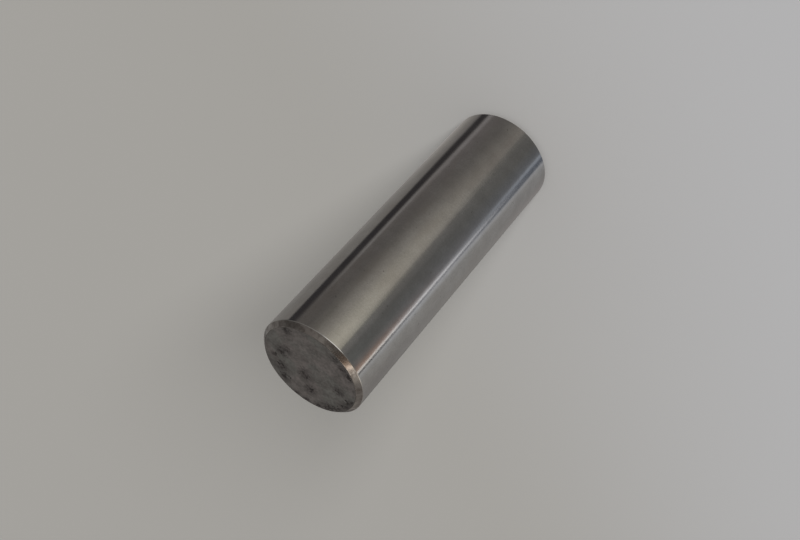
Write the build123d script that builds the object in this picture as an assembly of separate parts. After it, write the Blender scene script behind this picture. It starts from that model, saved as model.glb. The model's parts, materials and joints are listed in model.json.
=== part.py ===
from build123d import *
import os

# Piston pin: a solid cylindrical pin, turned from steel bar, hardened and ground, with
# both ends cut square to the axis and chamfered. The pin's axis is +Z, and it stands on
# its lower end: the origin is the centre of the lower end face. Sizes are in millimetres.

pin_diameter = 12.0     # the ground outside diameter, which the bores fit
pin_length = 38.0       # from end face to end face
chamfer_length = 0.5    # each chamfer, measured along the axis
chamfer_depth = 0.5     # each chamfer, measured inwards from the ground surface
edge_round = 0.12       # radius that polishing leaves on both edges of a chamfer


def pin_half_section():
    """Half of the lengthwise section, from the axis out to the ground surface."""
    pin_radius = pin_diameter / 2
    face_radius = pin_radius - chamfer_depth
    with BuildSketch(Plane.XZ) as half_section:
        with BuildLine():
            Polyline(
                (0, 0),
                (face_radius, 0),
                (pin_radius, chamfer_length),
                (pin_radius, pin_length - chamfer_length),
                (face_radius, pin_length),
                (0, pin_length),
                close=True,
            )
        make_face()
        off_axis_corners = half_section.vertices().filter_by(lambda corner: corner.X > 0)
        fillet(off_axis_corners, radius=edge_round)
    return half_section.sketch


def piston_pin():
    """The whole pin: one solid of revolution about +Z."""
    return revolve(pin_half_section(), axis=Axis.Z)


os.makedirs("parts", exist_ok=True)
export_step(piston_pin(), "parts/piston_pin.step")
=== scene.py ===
import json
import math

import bpy
from mathutils import Matrix, Quaternion, Vector


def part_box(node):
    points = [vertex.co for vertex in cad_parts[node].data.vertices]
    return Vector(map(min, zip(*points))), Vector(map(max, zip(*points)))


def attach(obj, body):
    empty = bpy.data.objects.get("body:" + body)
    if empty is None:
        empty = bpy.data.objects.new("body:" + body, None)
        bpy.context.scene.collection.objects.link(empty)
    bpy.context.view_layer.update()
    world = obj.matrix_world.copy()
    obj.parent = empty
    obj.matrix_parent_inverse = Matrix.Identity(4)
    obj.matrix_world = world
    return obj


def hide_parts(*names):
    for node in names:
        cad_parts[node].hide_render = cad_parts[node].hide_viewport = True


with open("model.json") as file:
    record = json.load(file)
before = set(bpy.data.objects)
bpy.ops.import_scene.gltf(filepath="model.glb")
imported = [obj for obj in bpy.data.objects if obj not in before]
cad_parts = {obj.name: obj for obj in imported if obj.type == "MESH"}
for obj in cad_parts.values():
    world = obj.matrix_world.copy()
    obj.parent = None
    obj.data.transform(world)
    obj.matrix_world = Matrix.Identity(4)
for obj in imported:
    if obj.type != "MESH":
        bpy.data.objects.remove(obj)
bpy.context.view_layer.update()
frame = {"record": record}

# ---- The turned and ground pin
#
# The pin is one piece of hardened steel, turned from bar to a half section that runs from
# the axis, out over the lower end face, up the ground outside and back over the upper end
# face. Each end has a 45 degree chamfer, and polishing has rounded the chamfers' edges.

mm = 0.001
ground_outside_mount = next(m for m in frame["record"]["mounts"] if m["name"] == "ground_outside")
pin_bottom, pin_top = (corner.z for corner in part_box("piston_pin"))
pin_length = pin_top - pin_bottom
pin_radius = ground_outside_mount["dims"]["r_mm"] * mm
chamfer = 0.5 * mm
face_radius = pin_radius - chamfer
edge_round = 0.12 * mm
rounded_rim = edge_round * math.tan(math.radians(45 / 2))
rows_in_edge_round = 6
face_row_spacing = 0.06 * mm
outside_row_spacing = 1.0 * mm
edge_support = 0.02 * mm
segments_around = 288
seam_gap = 1e-4 * mm
chamfer_facing_up = math.sin(math.radians(44))


def straight_rows(start, end, spacing, support):
    """Even points from start to end, with one close to each end that keeps the shading flat."""
    along = end - start
    margin = along.normalized() * support
    count = max(1, round(along.length / spacing))
    inner = [start + along * step / count for step in range(1, count)]
    return [start, start + margin, *inner, end - margin, end]


def rounded_corner(before, corner, after, radius, steps):
    """Points along the arc that rounds a left turn of the half section."""
    arriving = (corner - before).normalized()
    leaving = (after - corner).normalized()
    turn = math.acos(arriving.dot(leaving))
    to_centre = Vector((-arriving.y, arriving.x)) * radius
    centre = corner - arriving * radius * math.tan(turn / 2) + to_centre
    turns = [Matrix.Rotation(turn * step / steps, 2) for step in range(steps + 1)]
    return [centre - rotation @ to_centre for rotation in turns]


def pin_half_section():
    """The pin's half section as (radius, height) points, from the lower face to the upper."""
    corners = [
        Vector((0, pin_bottom)),
        Vector((face_radius, pin_bottom)),
        Vector((pin_radius, pin_bottom + chamfer)),
        Vector((pin_radius, pin_top - chamfer)),
        Vector((face_radius, pin_top)),
        Vector((0, pin_top)),
    ]
    arcs = [
        rounded_corner(*corners[i - 1:i + 2], edge_round, rows_in_edge_round) for i in range(1, 5)
    ]
    lower_inner, lower_outer, upper_outer, upper_inner = arcs
    return [
        *straight_rows(corners[0], lower_inner[0], face_row_spacing, edge_support)[:-1],
        *lower_inner,
        *straight_rows(lower_inner[-1], lower_outer[0], chamfer, edge_support)[1:-1],
        *lower_outer,
        *straight_rows(lower_outer[-1], upper_outer[0], outside_row_spacing, edge_support)[1:-1],
        *upper_outer,
        *straight_rows(upper_outer[-1], upper_inner[0], chamfer, edge_support)[1:-1],
        *upper_inner,
        *straight_rows(upper_inner[-1], corners[-1], face_row_spacing, edge_support)[1:],
    ]


class Wire:
    """An output of a node in a tree. Python's operators on it add Math nodes to that tree."""

    def __init__(self, tree, socket=None):
        self.tree = tree
        self.socket = socket

    def node(self, kind, settings=None, sockets=None, output=0):
        """Adds a node: its settings first, then its sockets' values or links, by name or place."""
        made = self.tree.nodes.new(kind)
        for name, value in (settings or {}).items():
            setattr(made, name, value)
        for key, value in (sockets or {}).items():
            if isinstance(value, Wire):
                self.tree.links.new(value.socket, made.inputs[key])
            else:
                made.inputs[key].default_value = value
        return Wire(self.tree, made.outputs[output] if made.outputs else None)

    def math(self, operation, *values):
        return self.node("ShaderNodeMath", {"operation": operation}, dict(enumerate(values)))

    def __add__(self, other):
        return self.math("ADD", self, other)

    def __sub__(self, other):
        return self.math("SUBTRACT", self, other)

    def __rsub__(self, other):
        return self.math("SUBTRACT", other, self)

    def __mul__(self, other):
        return self.math("MULTIPLY", self, other)

    def __truediv__(self, other):
        return self.math("DIVIDE", self, other)

    def __rtruediv__(self, other):
        return self.math("DIVIDE", other, self)

    __radd__ = __add__
    __rmul__ = __mul__

    def step(self, low, high):
        """0 below low and 1 above high, with a smooth rise between them."""
        span = {"Value": self, "From Min": low, "From Max": high}
        return self.node("ShaderNodeMapRange", {"interpolation_type": "SMOOTHSTEP"}, span)

    def scaled(self, *factors):
        """A vector with each of its parts times a factor."""
        return self.node(
            "ShaderNodeVectorMath", {"operation": "MULTIPLY"}, {0: self, 1: factors}
        )

    def parts(self):
        """A vector's x, y and z."""
        return [self.node("ShaderNodeSeparateXYZ", None, {0: self}, i) for i in range(3)]

    def noise(self, size, detail=2.0, roughness=0.5):
        """Noise whose patches are about size across, from a vector in metres."""
        look = {"Vector": self, "Scale": 1.0 / size, "Detail": detail, "Roughness": roughness}
        return self.node("ShaderNodeTexNoise", None, look)


# The upper end face wasn't ground after hardening, and rust has pitted it in patches, most
# of them along one side of its rim, each with a dark stain round it; two of the rim patches
# are painted shade, a dark band along the rim, pitted as well. The lower face is plain.

# Degrees round the axis, how far out as a share of the pin's radius, and the patch's radius.
rust_and_rim_shade_patches = [
    (2, 0.52, 0.8 * mm),
    (16, 0.57, 1.0 * mm),
    (32, 0.73, 0.5 * mm),
    (53, 0.68, 1.2 * mm),
    (71, 0.77, 1.0 * mm),
    # The next two patches, on the rim, are painted shade: their stain darkens the rim as a shaded
    # rounded edge would; their pits are eaten in as well.
    (95, 0.92, 0.8 * mm),
    (110, 0.92, 0.8 * mm),
    (116, 0.54, 0.9 * mm),
    (124, 0.90, 0.9 * mm),
    (141, 0.87, 1.2 * mm),
    (155, 0.88, 1.2 * mm),
    (169, 0.87, 1.1 * mm),
    (-177, 0.89, 0.9 * mm),
    (-171, 0.60, 0.9 * mm),
    (-129, 0.84, 0.8 * mm),
    (-118, 0.82, 0.8 * mm),
    (-103, 0.82, 0.7 * mm),
    (-33, 0.85, 0.9 * mm),
    (88, 0.22, 1.1 * mm),
]
pit_depth = 0.07 * mm
pit_size = 0.36 * mm
pit_wall = 0.07
clean_metal_bar = 0.72
rusted_metal_bar = 0.48
stain_core = 0.1
stain_reach = 1.25
pits_thin_out_at = 0.955
pits_end_at = 0.985
just_below_top = 1e-3 * mm


def turned_pin_tree():
    """Turns a half section about +Z into a closed skin, and eats pits into its upper face."""
    tree = bpy.data.node_groups.new("turned_pin", "GeometryNodeTree")
    kinds = {
        "Half section": "NodeSocketGeometry",
        "Segments": "NodeSocketInt",
        "Face radius": "NodeSocketFloat",
        "Pin top": "NodeSocketFloat",
        "Pit depth": "NodeSocketFloat",
        "Pit size": "NodeSocketFloat",
        "Outside": "NodeSocketMaterial",
        "Chamfer": "NodeSocketMaterial",
        "End face": "NodeSocketMaterial",
    }
    identifiers = {
        name: tree.interface.new_socket(name, in_out="INPUT", socket_type=kind).identifier
        for name, kind in kinds.items()
    }
    tree.interface.new_socket("Pin", in_out="OUTPUT", socket_type="NodeSocketGeometry")
    start = Wire(tree)
    group = tree.nodes.new("NodeGroupInput")
    given = {name: Wire(tree, group.outputs[name]) for name in kinds}

    rows = start.node("GeometryNodeAttributeDomainSize", None, {0: given["Half section"]})
    columns = given["Segments"] + 1
    skin = start.node("GeometryNodeMeshGrid", None, {"Vertices X": rows, "Vertices Y": columns})
    index = start.node("GeometryNodeInputIndex")
    row = start.math("FLOOR", (index + 0.5) / columns)
    around = (index - row * columns) / given["Segments"] * math.tau
    place = start.node("GeometryNodeInputPosition")
    on_section = start.node(
        "GeometryNodeSampleIndex",
        {"data_type": "FLOAT_VECTOR"},
        {"Geometry": given["Half section"], 1: place, "Index": row},
    )
    radius, _, height = on_section.parts()
    turned = start.node(
        "ShaderNodeCombineXYZ",
        None,
        {0: radius * start.math("COSINE", around), 1: radius * start.math("SINE", around), 2: height},
    )
    skin = start.node("GeometryNodeSetPosition", None, {"Geometry": skin, "Position": turned})
    skin = start.node("GeometryNodeFlipFaces", None, {"Mesh": skin})
    skin = start.node("GeometryNodeMergeByDistance", None, {"Geometry": skin, "Distance": seam_gap})

    x, y, z = place.parts()
    out = start.math("SQRT", x * x + y * y)
    # The patches' mask holds rust and, for the two rim patches, painted shade.
    rust_and_rim_shade = 0.0
    for degrees, share, patch_radius in rust_and_rim_shade_patches:
        middle = Matrix.Rotation(math.radians(degrees), 2) @ Vector((share * pin_radius, 0))
        far_x = x - middle.x
        far_y = y - middle.y
        far = start.math("SQRT", far_x * far_x + far_y * far_y) / patch_radius
        rust_and_rim_shade = start.math("MAXIMUM", rust_and_rim_shade, 1 - far.step(stain_core, stain_reach))
    blotches = place.noise(given["Pit size"], 3.0, 0.6)
    bar = clean_metal_bar - (clean_metal_bar - rusted_metal_bar) * rust_and_rim_shade
    pitted = (blotches - bar).step(0.0, pit_wall)
    on_upper_face = start.math("GREATER_THAN", z, given["Pin top"] - just_below_top)
    within_rim = 1 - (out / given["Face radius"]).step(pits_thin_out_at, pits_end_at)
    stored = {
        "rust_and_rim_shade": rust_and_rim_shade * on_upper_face,
        "pit": pitted * on_upper_face * within_rim,
    }
    for name, value in stored.items():
        skin = start.node(
            "GeometryNodeStoreNamedAttribute",
            {"data_type": "FLOAT", "domain": "POINT"},
            {"Geometry": skin, "Name": name, "Value": value},
        )
    eaten = start.node("GeometryNodeInputNamedAttribute", {"data_type": "FLOAT"}, {"Name": "pit"})
    sink = start.node("ShaderNodeCombineXYZ", None, {2: eaten * given["Pit depth"] * -1.0})
    skin = start.node("GeometryNodeSetPosition", None, {"Geometry": skin, "Offset": sink})

    skin = start.node("GeometryNodeSetShadeSmooth", None, {"Geometry": skin})
    skin = start.node("GeometryNodeRealizeInstances", None, {"Geometry": skin})
    skin = start.node(
        "GeometryNodeSetMaterial", None, {"Geometry": skin, "Material": given["Outside"]}
    )
    facing = start.node("GeometryNodeInputNormal")
    upright = start.math("ABSOLUTE", facing.parts()[2])
    skin = start.node(
        "GeometryNodeSetMaterial",
        None,
        {
            "Geometry": skin,
            "Selection": start.math("GREATER_THAN", upright, chamfer_facing_up),
            "Material": given["Chamfer"],
        },
    )
    skin = start.node(
        "GeometryNodeSetMaterial",
        None,
        {
            "Geometry": skin,
            "Selection": start.math("LESS_THAN", out, given["Face radius"] - rounded_rim),
            "Material": given["End face"],
        },
    )
    result = tree.nodes.new("NodeGroupOutput")
    tree.links.new(skin.socket, result.inputs[0])
    return tree, identifiers


def finished_material(name, finish):
    """A material whose Principled shader takes its sockets from finish(start), by name."""
    material = bpy.data.materials.new(name)
    material.use_nodes = True
    tree = material.node_tree
    tree.nodes.clear()
    start = Wire(tree)
    shader = start.node("ShaderNodeBsdfPrincipled", None, finish(start))
    start.node("ShaderNodeOutputMaterial", None, {"Surface": shader})
    return material


def mixed(share, first, second):
    """Two colours, mixed."""
    return share.node("ShaderNodeMix", {"data_type": "RGBA"}, {0: share, 6: first, 7: second}, 2)


def ground_finish(start):
    """Ground and polished steel: fine marks run round the pin, so gloss spreads along it."""
    place = start.node("ShaderNodeTexCoord", output=3)
    marks = place.scaled(0.02, 0.02, 1.0).noise(0.05 * mm, 2.0, 0.6)
    grain = place.scaled(1.0, 1.0, 0.6).noise(0.13 * mm, 2.0, 0.6)
    haze = place.noise(1.6 * mm, 3.0, 0.55)
    smudge = place.scaled(1.0, 1.0, 0.4).noise(2.6 * mm, 3.0, 0.6).step(0.40, 0.68)
    speckle = place.noise(0.22 * mm, 3.0, 0.65).step(0.32, 0.68)
    tone = speckle * 0.5 + haze.step(0.35, 0.65) * 0.5
    clean = mixed(tone, (0.525, 0.515, 0.50, 1), (0.625, 0.615, 0.60, 1))
    specks = place.noise(0.30 * mm, 1.0).step(0.76, 0.80)
    height = marks * 0.4 + grain * 0.6
    return {
        "Base Color": mixed(
            specks * 0.6, mixed(smudge * 0.5, clean, (0.52, 0.495, 0.47, 1)), (0.12, 0.10, 0.09, 1)
        ),
        "Metallic": 1.0,
        "Roughness": 0.085 + 0.04 * haze,
        "Anisotropic": 0.8,
        "Anisotropic Rotation": 0.25,
        "Normal": start.node(
            "ShaderNodeBump", None, {"Strength": 1.0, "Distance": 0.003 * mm, "Height": height}
        ),
    }


def chamfer_finish(start):
    """Turned steel, dark with scale from hardening, with the tool's marks round the chamfer."""
    place = start.node("ShaderNodeTexCoord", output=3)
    marks = place.scaled(0.03, 0.03, 1.0).noise(0.04 * mm, 2.0, 0.6)
    scale = place.noise(0.7 * mm, 3.0, 0.6).step(0.38, 0.64)
    return {
        "Base Color": mixed(scale, (0.36, 0.34, 0.32, 1), (0.22, 0.20, 0.185, 1)),
        "Metallic": 1.0,
        "Roughness": 0.17 + 0.10 * scale,
        "Normal": start.node(
            "ShaderNodeBump", None, {"Strength": 0.4, "Distance": 0.002 * mm, "Height": marks}
        ),
    }


def end_face_finish(start):
    """The dark scale that hardening leaves on an unground face: mottled, stained and pitted, with
    painted shade along part of its rim.
    """
    place = start.node("ShaderNodeTexCoord", output=3)
    pit = start.node("ShaderNodeAttribute", {"attribute_name": "pit"}, output=2)
    rust_and_rim_shade = start.node("ShaderNodeAttribute", {"attribute_name": "rust_and_rim_shade"}, output=2)
    cast = place.noise(2.6 * mm, 2.0, 0.5).step(0.40, 0.60)
    cloud = place.noise(1.4 * mm, 4.0, 0.65).step(0.38, 0.62)
    fleck = place.noise(0.30 * mm, 3.0, 0.65).step(0.36, 0.64)
    grain = place.noise(0.11 * mm, 2.0, 0.6)
    x, y, _ = place.parts()
    out = start.math("SQRT", x * x + y * y)
    ring = start.node("ShaderNodeCombineXYZ", None, {0: out}).noise(0.5 * mm, 2.0, 0.6)
    pale_scale = mixed(cast, (0.112, 0.098, 0.091, 1), (0.098, 0.095, 0.086, 1))
    tone = cloud * 0.4 + fleck * 0.4 + ring.step(0.35, 0.65) * 0.2
    scale = mixed(tone, (0.054, 0.049, 0.045, 1), pale_scale)
    # The stain below is rust, and along part of the rim painted shade: a dark band where the rounded
    # edge lies in shade.
    rust_stain_and_rim_shade = mixed(rust_and_rim_shade * (0.95 - 0.45 * fleck), scale, (0.026, 0.022, 0.021, 1))
    return {
        "Base Color": mixed(pit, rust_stain_and_rim_shade, (0.020, 0.017, 0.016, 1)),
        "Metallic": 0.15,
        "Roughness": 0.62 + 0.16 * cloud,
        "Normal": start.node(
            "ShaderNodeBump", None, {"Strength": 0.6, "Distance": 0.02 * mm, "Height": grain}
        ),
    }


def plain_mesh(thing):
    """What an object's Geometry Nodes make, as a mesh of its own."""
    depsgraph = bpy.context.evaluated_depsgraph_get()
    return bpy.data.meshes.new_from_object(
        thing.evaluated_get(depsgraph), preserve_all_data_layers=True, depsgraph=depsgraph
    )


section = bpy.data.meshes.new("pin_half_section")
section_points = [(radius, 0, height) for radius, height in pin_half_section()]
section.from_pydata(section_points, [(i, i + 1) for i in range(len(section_points) - 1)], [])
pin = bpy.data.objects.new("ground_pin", section)
bpy.context.scene.collection.objects.link(pin)
turning_tree, turning_inputs = turned_pin_tree()
turning = pin.modifiers.new("turning", "NODES")
turning.node_group = turning_tree
turning_values = {
    "Segments": segments_around,
    "Face radius": face_radius,
    "Pin top": pin_top,
    "Pit depth": pit_depth,
    "Pit size": pit_size,
    "Outside": finished_material("ground_outside", ground_finish),
    "Chamfer": finished_material("turned_chamfer", chamfer_finish),
    "End face": finished_material("scaled_end_face", end_face_finish),
}
for input_name, value in turning_values.items():
    turning[turning_inputs[input_name]] = value
pin_skin = plain_mesh(pin)
pin.modifiers.clear()
pin.data = pin_skin
bpy.data.meshes.remove(section)
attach(pin, "root")
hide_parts("piston_pin")

# ---- The bench top and the room
#
# The pin stands on a pale grey bench top, under a broad soft lamp behind the camera, so its
# shadow falls away from there. Polished steel shows little but what stands round it, which is
# the bench low down, then lit walls with dark stretches between them, and an opening overhead.

bench_colour = (0.372, 0.360, 0.338, 1)
# The next colour and the lit_side numbers paint a pool of light into the bench's colour: painted
# light, paler and cooler towards the camera's side, fading out far from the pin.
painted_lit_bench_colour = (0.452, 0.450, 0.456, 1)
bench_mottle = 60 * mm
lit_side = (-0.6, -0.8)
lit_side_starts = -35 * mm
lit_side_full = 50 * mm
lit_side_fades = 100 * mm
lit_side_ends = 500 * mm
room_light = 0.36
lamp_elevation = math.radians(20)
lamp_azimuth = math.radians(-2)
lamp_spread = math.radians(24)
lamp_strength = (1 - room_light) * math.pi / math.sin(lamp_elevation)
bench_reach = 6.0


def bench_finish(start):
    """Smooth matt board, a little uneven in tone, with painted light: paler and cooler on the side by
    the camera.
    """
    place = start.node("ShaderNodeTexCoord", output=3)
    x, y, _ = place.parts()
    uneven = place.noise(bench_mottle, 1.0)
    # Painted light: the bench's colour turns paler and cooler towards the camera's side, near the
    # pin.
    painted_light_share = (x * lit_side[0] + y * lit_side[1]).step(lit_side_starts, lit_side_full)
    nearby = 1 - start.math("SQRT", x * x + y * y).step(lit_side_fades, lit_side_ends)
    board = mixed(uneven, tuple(0.985 * c for c in bench_colour), bench_colour)
    return {
        "Base Color": mixed(painted_light_share * nearby, board, painted_lit_bench_colour),
        "Roughness": 0.9,
        "Specular IOR Level": 0.0,
    }


bench_mesh = bpy.data.meshes.new("bench_top")
bench_corners = [(-1, -1), (1, -1), (1, 1), (-1, 1)]
bench_mesh.from_pydata(
    [(x * bench_reach, y * bench_reach, pin_bottom) for x, y in bench_corners], [], [(0, 1, 2, 3)]
)
bench = bpy.data.objects.new("bench_top", bench_mesh)
bench_mesh.materials.append(finished_material("pale_board", bench_finish))
bpy.context.scene.collection.objects.link(bench)
bench.visible_glossy = False


# The colours that the steel shows round the pin, by degrees from the camera's side: on the
# bench far off, halfway and close by, then along the walls, and overhead.
underfoot = (0.30, 0.29, 0.27, 1)
bench_far_off = [
    (-180, (0.10, 0.097, 0.094)),
    (-165, (0.16, 0.155, 0.15)),
    (-154, (0.225, 0.215, 0.205)),
    (-136, (0.24, 0.23, 0.225)),
    (-111, (0.285, 0.275, 0.265)),
    (-93, (0.345, 0.34, 0.33)),
    (-87, (0.38, 0.385, 0.39)),
    (-81.5, (0.50, 0.505, 0.51)),
    (-80, (0.09, 0.09, 0.09)),
    (-77, (0.09, 0.09, 0.09)),
    (-76, (1.0, 0.97, 0.93)),
    (-73.5, (1.0, 0.93, 0.86)),
    (-72, (0.42, 0.29, 0.22)),
    (-66, (0.29, 0.21, 0.17)),
    (-60, (0.20, 0.18, 0.17)),
    (-50, (0.135, 0.138, 0.133)),
    (-33, (0.135, 0.135, 0.13)),
    (-26, (0.19, 0.185, 0.18)),
    (-18.5, (0.215, 0.21, 0.195)),
    (-15.5, (0.47, 0.45, 0.385)),
    (-3, (0.58, 0.55, 0.47)),
    (8, (0.49, 0.465, 0.40)),
    (25, (0.31, 0.29, 0.26)),
    (45, (0.16, 0.15, 0.135)),
    (60, (0.12, 0.112, 0.105)),
    (80, (0.12, 0.11, 0.103)),
    (89, (0.065, 0.06, 0.058)),
    (95, (0.042, 0.039, 0.041)),
    (106, (0.042, 0.039, 0.041)),
    (108.5, (0.215, 0.205, 0.195)),
    (155, (0.22, 0.21, 0.20)),
    (180, (0.25, 0.24, 0.225)),
]
bench_halfway = [
    (-180, (0.11, 0.105, 0.10)),
    (-165, (0.19, 0.185, 0.175)),
    (-154, (0.25, 0.24, 0.23)),
    (-93, (0.325, 0.32, 0.315)),
    (-87, (0.44, 0.445, 0.46)),
    (-81.5, (0.53, 0.545, 0.58)),
    (-79.5, (0.27, 0.28, 0.31)),
    (-77.5, (0.25, 0.26, 0.29)),
    (-76, (0.90, 0.92, 0.98)),
    (-73.5, (0.90, 0.92, 0.98)),
    (-71.5, (0.45, 0.46, 0.49)),
    (-69, (0.33, 0.34, 0.36)),
    (-66, (0.185, 0.185, 0.195)),
    (-50, (0.14, 0.14, 0.142)),
    (-33, (0.13, 0.13, 0.128)),
    (-24, (0.16, 0.158, 0.155)),
    (-14, (0.18, 0.175, 0.17)),
    (-10.5, (0.34, 0.32, 0.295)),
    (-3, (0.37, 0.35, 0.315)),
    (10, (0.345, 0.325, 0.29)),
    (25, (0.27, 0.255, 0.235)),
    (45, (0.155, 0.145, 0.135)),
    (60, (0.12, 0.112, 0.107)),
    (81, (0.13, 0.12, 0.115)),
    (85, (0.27, 0.26, 0.255)),
    (89, (0.19, 0.18, 0.175)),
    (92, (0.042, 0.039, 0.041)),
    (106.5, (0.036, 0.034, 0.036)),
    (110, (0.205, 0.195, 0.185)),
    (135, (0.225, 0.215, 0.205)),
    (180, (0.27, 0.255, 0.24)),
]
bench_close_by = [
    (-180, (0.16, 0.155, 0.15)),
    (-165, (0.24, 0.23, 0.225)),
    (-154, (0.27, 0.255, 0.25)),
    (-111, (0.285, 0.28, 0.28)),
    (-95, (0.33, 0.33, 0.335)),
    (-88, (0.41, 0.415, 0.43)),
    (-85, (0.37, 0.38, 0.41)),
    (-81.5, (0.10, 0.118, 0.15)),
    (-74, (0.10, 0.118, 0.15)),
    (-71, (0.31, 0.34, 0.40)),
    (-67, (0.34, 0.37, 0.42)),
    (-63, (0.17, 0.18, 0.20)),
    (-55, (0.14, 0.145, 0.155)),
    (-35, (0.135, 0.133, 0.128)),
    (-16, (0.138, 0.135, 0.130)),
    (-7, (0.15, 0.147, 0.14)),
    (-3.5, (0.21, 0.198, 0.185)),
    (3, (0.22, 0.205, 0.19)),
    (20, (0.18, 0.17, 0.158)),
    (40, (0.135, 0.128, 0.122)),
    (76, (0.155, 0.142, 0.14)),
    (81, (0.26, 0.245, 0.245)),
    (87, (0.24, 0.225, 0.225)),
    (90, (0.09, 0.085, 0.085)),
    (94, (0.042, 0.039, 0.041)),
    (106, (0.042, 0.039, 0.041)),
    (113, (0.19, 0.18, 0.175)),
    (135, (0.27, 0.255, 0.24)),
    (180, (0.43, 0.41, 0.39)),
]
lit_wall = [
    (-180, (0.09, 0.085, 0.08)),
    (-165, (0.13, 0.12, 0.115)),
    (-151, (0.33, 0.31, 0.29)),
    (-118, (0.27, 0.25, 0.235)),
    (-102, (0.28, 0.265, 0.25)),
    (-91, (0.60, 0.56, 0.51)),
    (-84, (0.85, 0.80, 0.74)),
    (-72, (0.50, 0.45, 0.40)),
    (-55, (0.20, 0.18, 0.16)),
    (-26, (0.25, 0.24, 0.23)),
    (-17, (1.0, 0.98, 0.94)),
    (13, (1.0, 0.98, 0.94)),
    (24, (0.35, 0.34, 0.33)),
    (60, (0.20, 0.19, 0.18)),
    (104, (0.13, 0.125, 0.12)),
    (130, (0.27, 0.26, 0.25)),
    (151, (0.35, 0.34, 0.33)),
    (162, (0.15, 0.145, 0.14)),
    (180, (0.09, 0.085, 0.08)),
]
overhead = [
    (-180, (0.20, 0.19, 0.18)),
    (-95, (0.30, 0.28, 0.26)),
    (-84, (1.1, 1.0, 0.92)),
    (-76, (1.8, 1.7, 1.55)),
    (-66, (1.9, 1.6, 1.35)),
    (-60, (0.95, 0.66, 0.46)),
    (-54, (0.18, 0.13, 0.10)),
    (-25, (0.12, 0.11, 0.10)),
    (0, (0.24, 0.225, 0.21)),
    (28, (0.36, 0.34, 0.32)),
    (60, (0.24, 0.22, 0.21)),
    (90, (0.24, 0.23, 0.22)),
    (180, (0.20, 0.19, 0.18)),
]

# From straight down to straight up: the elevations, in degrees, over which each ring's
# colours take over from those below it.
rings = [
    (-66, -52, bench_close_by),
    (-42, -37, bench_halfway),
    (-36, -30, bench_far_off),
    (-22, -8, lit_wall),
    (38, 50, overhead),
]


def surroundings(azimuth_share, stops):
    """The colours round the pin in one ring of directions."""
    wire = azimuth_share.node("ShaderNodeValToRGB", None, {0: azimuth_share})
    ramp = wire.socket.node.color_ramp
    for _ in stops[2:]:
        ramp.elements.new(0.5)
    for element, (azimuth, colour) in zip(ramp.elements, stops):
        element.position = (azimuth + 180) / 360
        element.color = (*colour, 1)
    return wire


world = bpy.data.worlds.new("room")
bpy.context.scene.world = world
world.use_nodes = True
world.node_tree.nodes.clear()
start = Wire(world.node_tree)
east, north, up = start.node("ShaderNodeTexCoord", output=0).parts()
azimuth_share = start.math("ARCTAN2", east, 0 - north) / math.tau + 0.5
elevation = start.math("ARCSINE", up) * math.degrees(1)
all_round = underfoot
for low, high, stops in rings:
    all_round = mixed(elevation.step(low, high), all_round, surroundings(azimuth_share, stops))
seen = start.node("ShaderNodeLightPath", output=0)
mirrored = start.node("ShaderNodeLightPath", output=3)
background = mixed(seen, (room_light, room_light, room_light, 1), bench_colour)
background = mixed(mirrored, background, all_round)
room = start.node("ShaderNodeBackground", None, {"Color": background, "Strength": 1.0})
start.node("ShaderNodeOutputWorld", None, {"Surface": room})

lamp = bpy.data.objects.new("broad_lamp", bpy.data.lights.new("broad_lamp", "SUN"))
lamp.data.energy = lamp_strength
lamp.data.angle = lamp_spread
lamp.visible_glossy = False
lamp_back = Vector((
    math.sin(lamp_azimuth) * math.cos(lamp_elevation),
    -math.cos(lamp_azimuth) * math.cos(lamp_elevation),
    math.sin(lamp_elevation),
))
lamp.rotation_mode = "QUATERNION"
lamp.rotation_quaternion = lamp_back.to_track_quat("Z", "Y")
bpy.context.scene.collection.objects.link(lamp)

# ---- The camera
#
# It looks down on the pin's upper end from the side, and is turned on its own axis until
# that end lies at the lower left.

camera_place = Vector((0, -2.678, 2.468)) * pin_length
camera_aim = Vector((-0.0016, 0, 0.5736)) * pin_length
camera_roll = math.radians(-138.24)
camera_sensor = 36
camera_lens = 52.95
nearest_seen = 10 * mm
camera = bpy.data.objects.new("camera", bpy.data.cameras.new("camera"))
camera.data.sensor_width = camera_sensor
camera.data.lens = camera_lens
camera.data.clip_start = nearest_seen
camera.location = camera_place
camera.rotation_mode = "QUATERNION"
camera.rotation_quaternion = (camera_aim - camera_place).to_track_quat("-Z", "Y") @ Quaternion(
    (0, 0, 1), camera_roll
)
bpy.context.scene.collection.objects.link(camera)
bpy.context.scene.camera = camera
bpy.context.scene.view_settings.view_transform = "Standard"
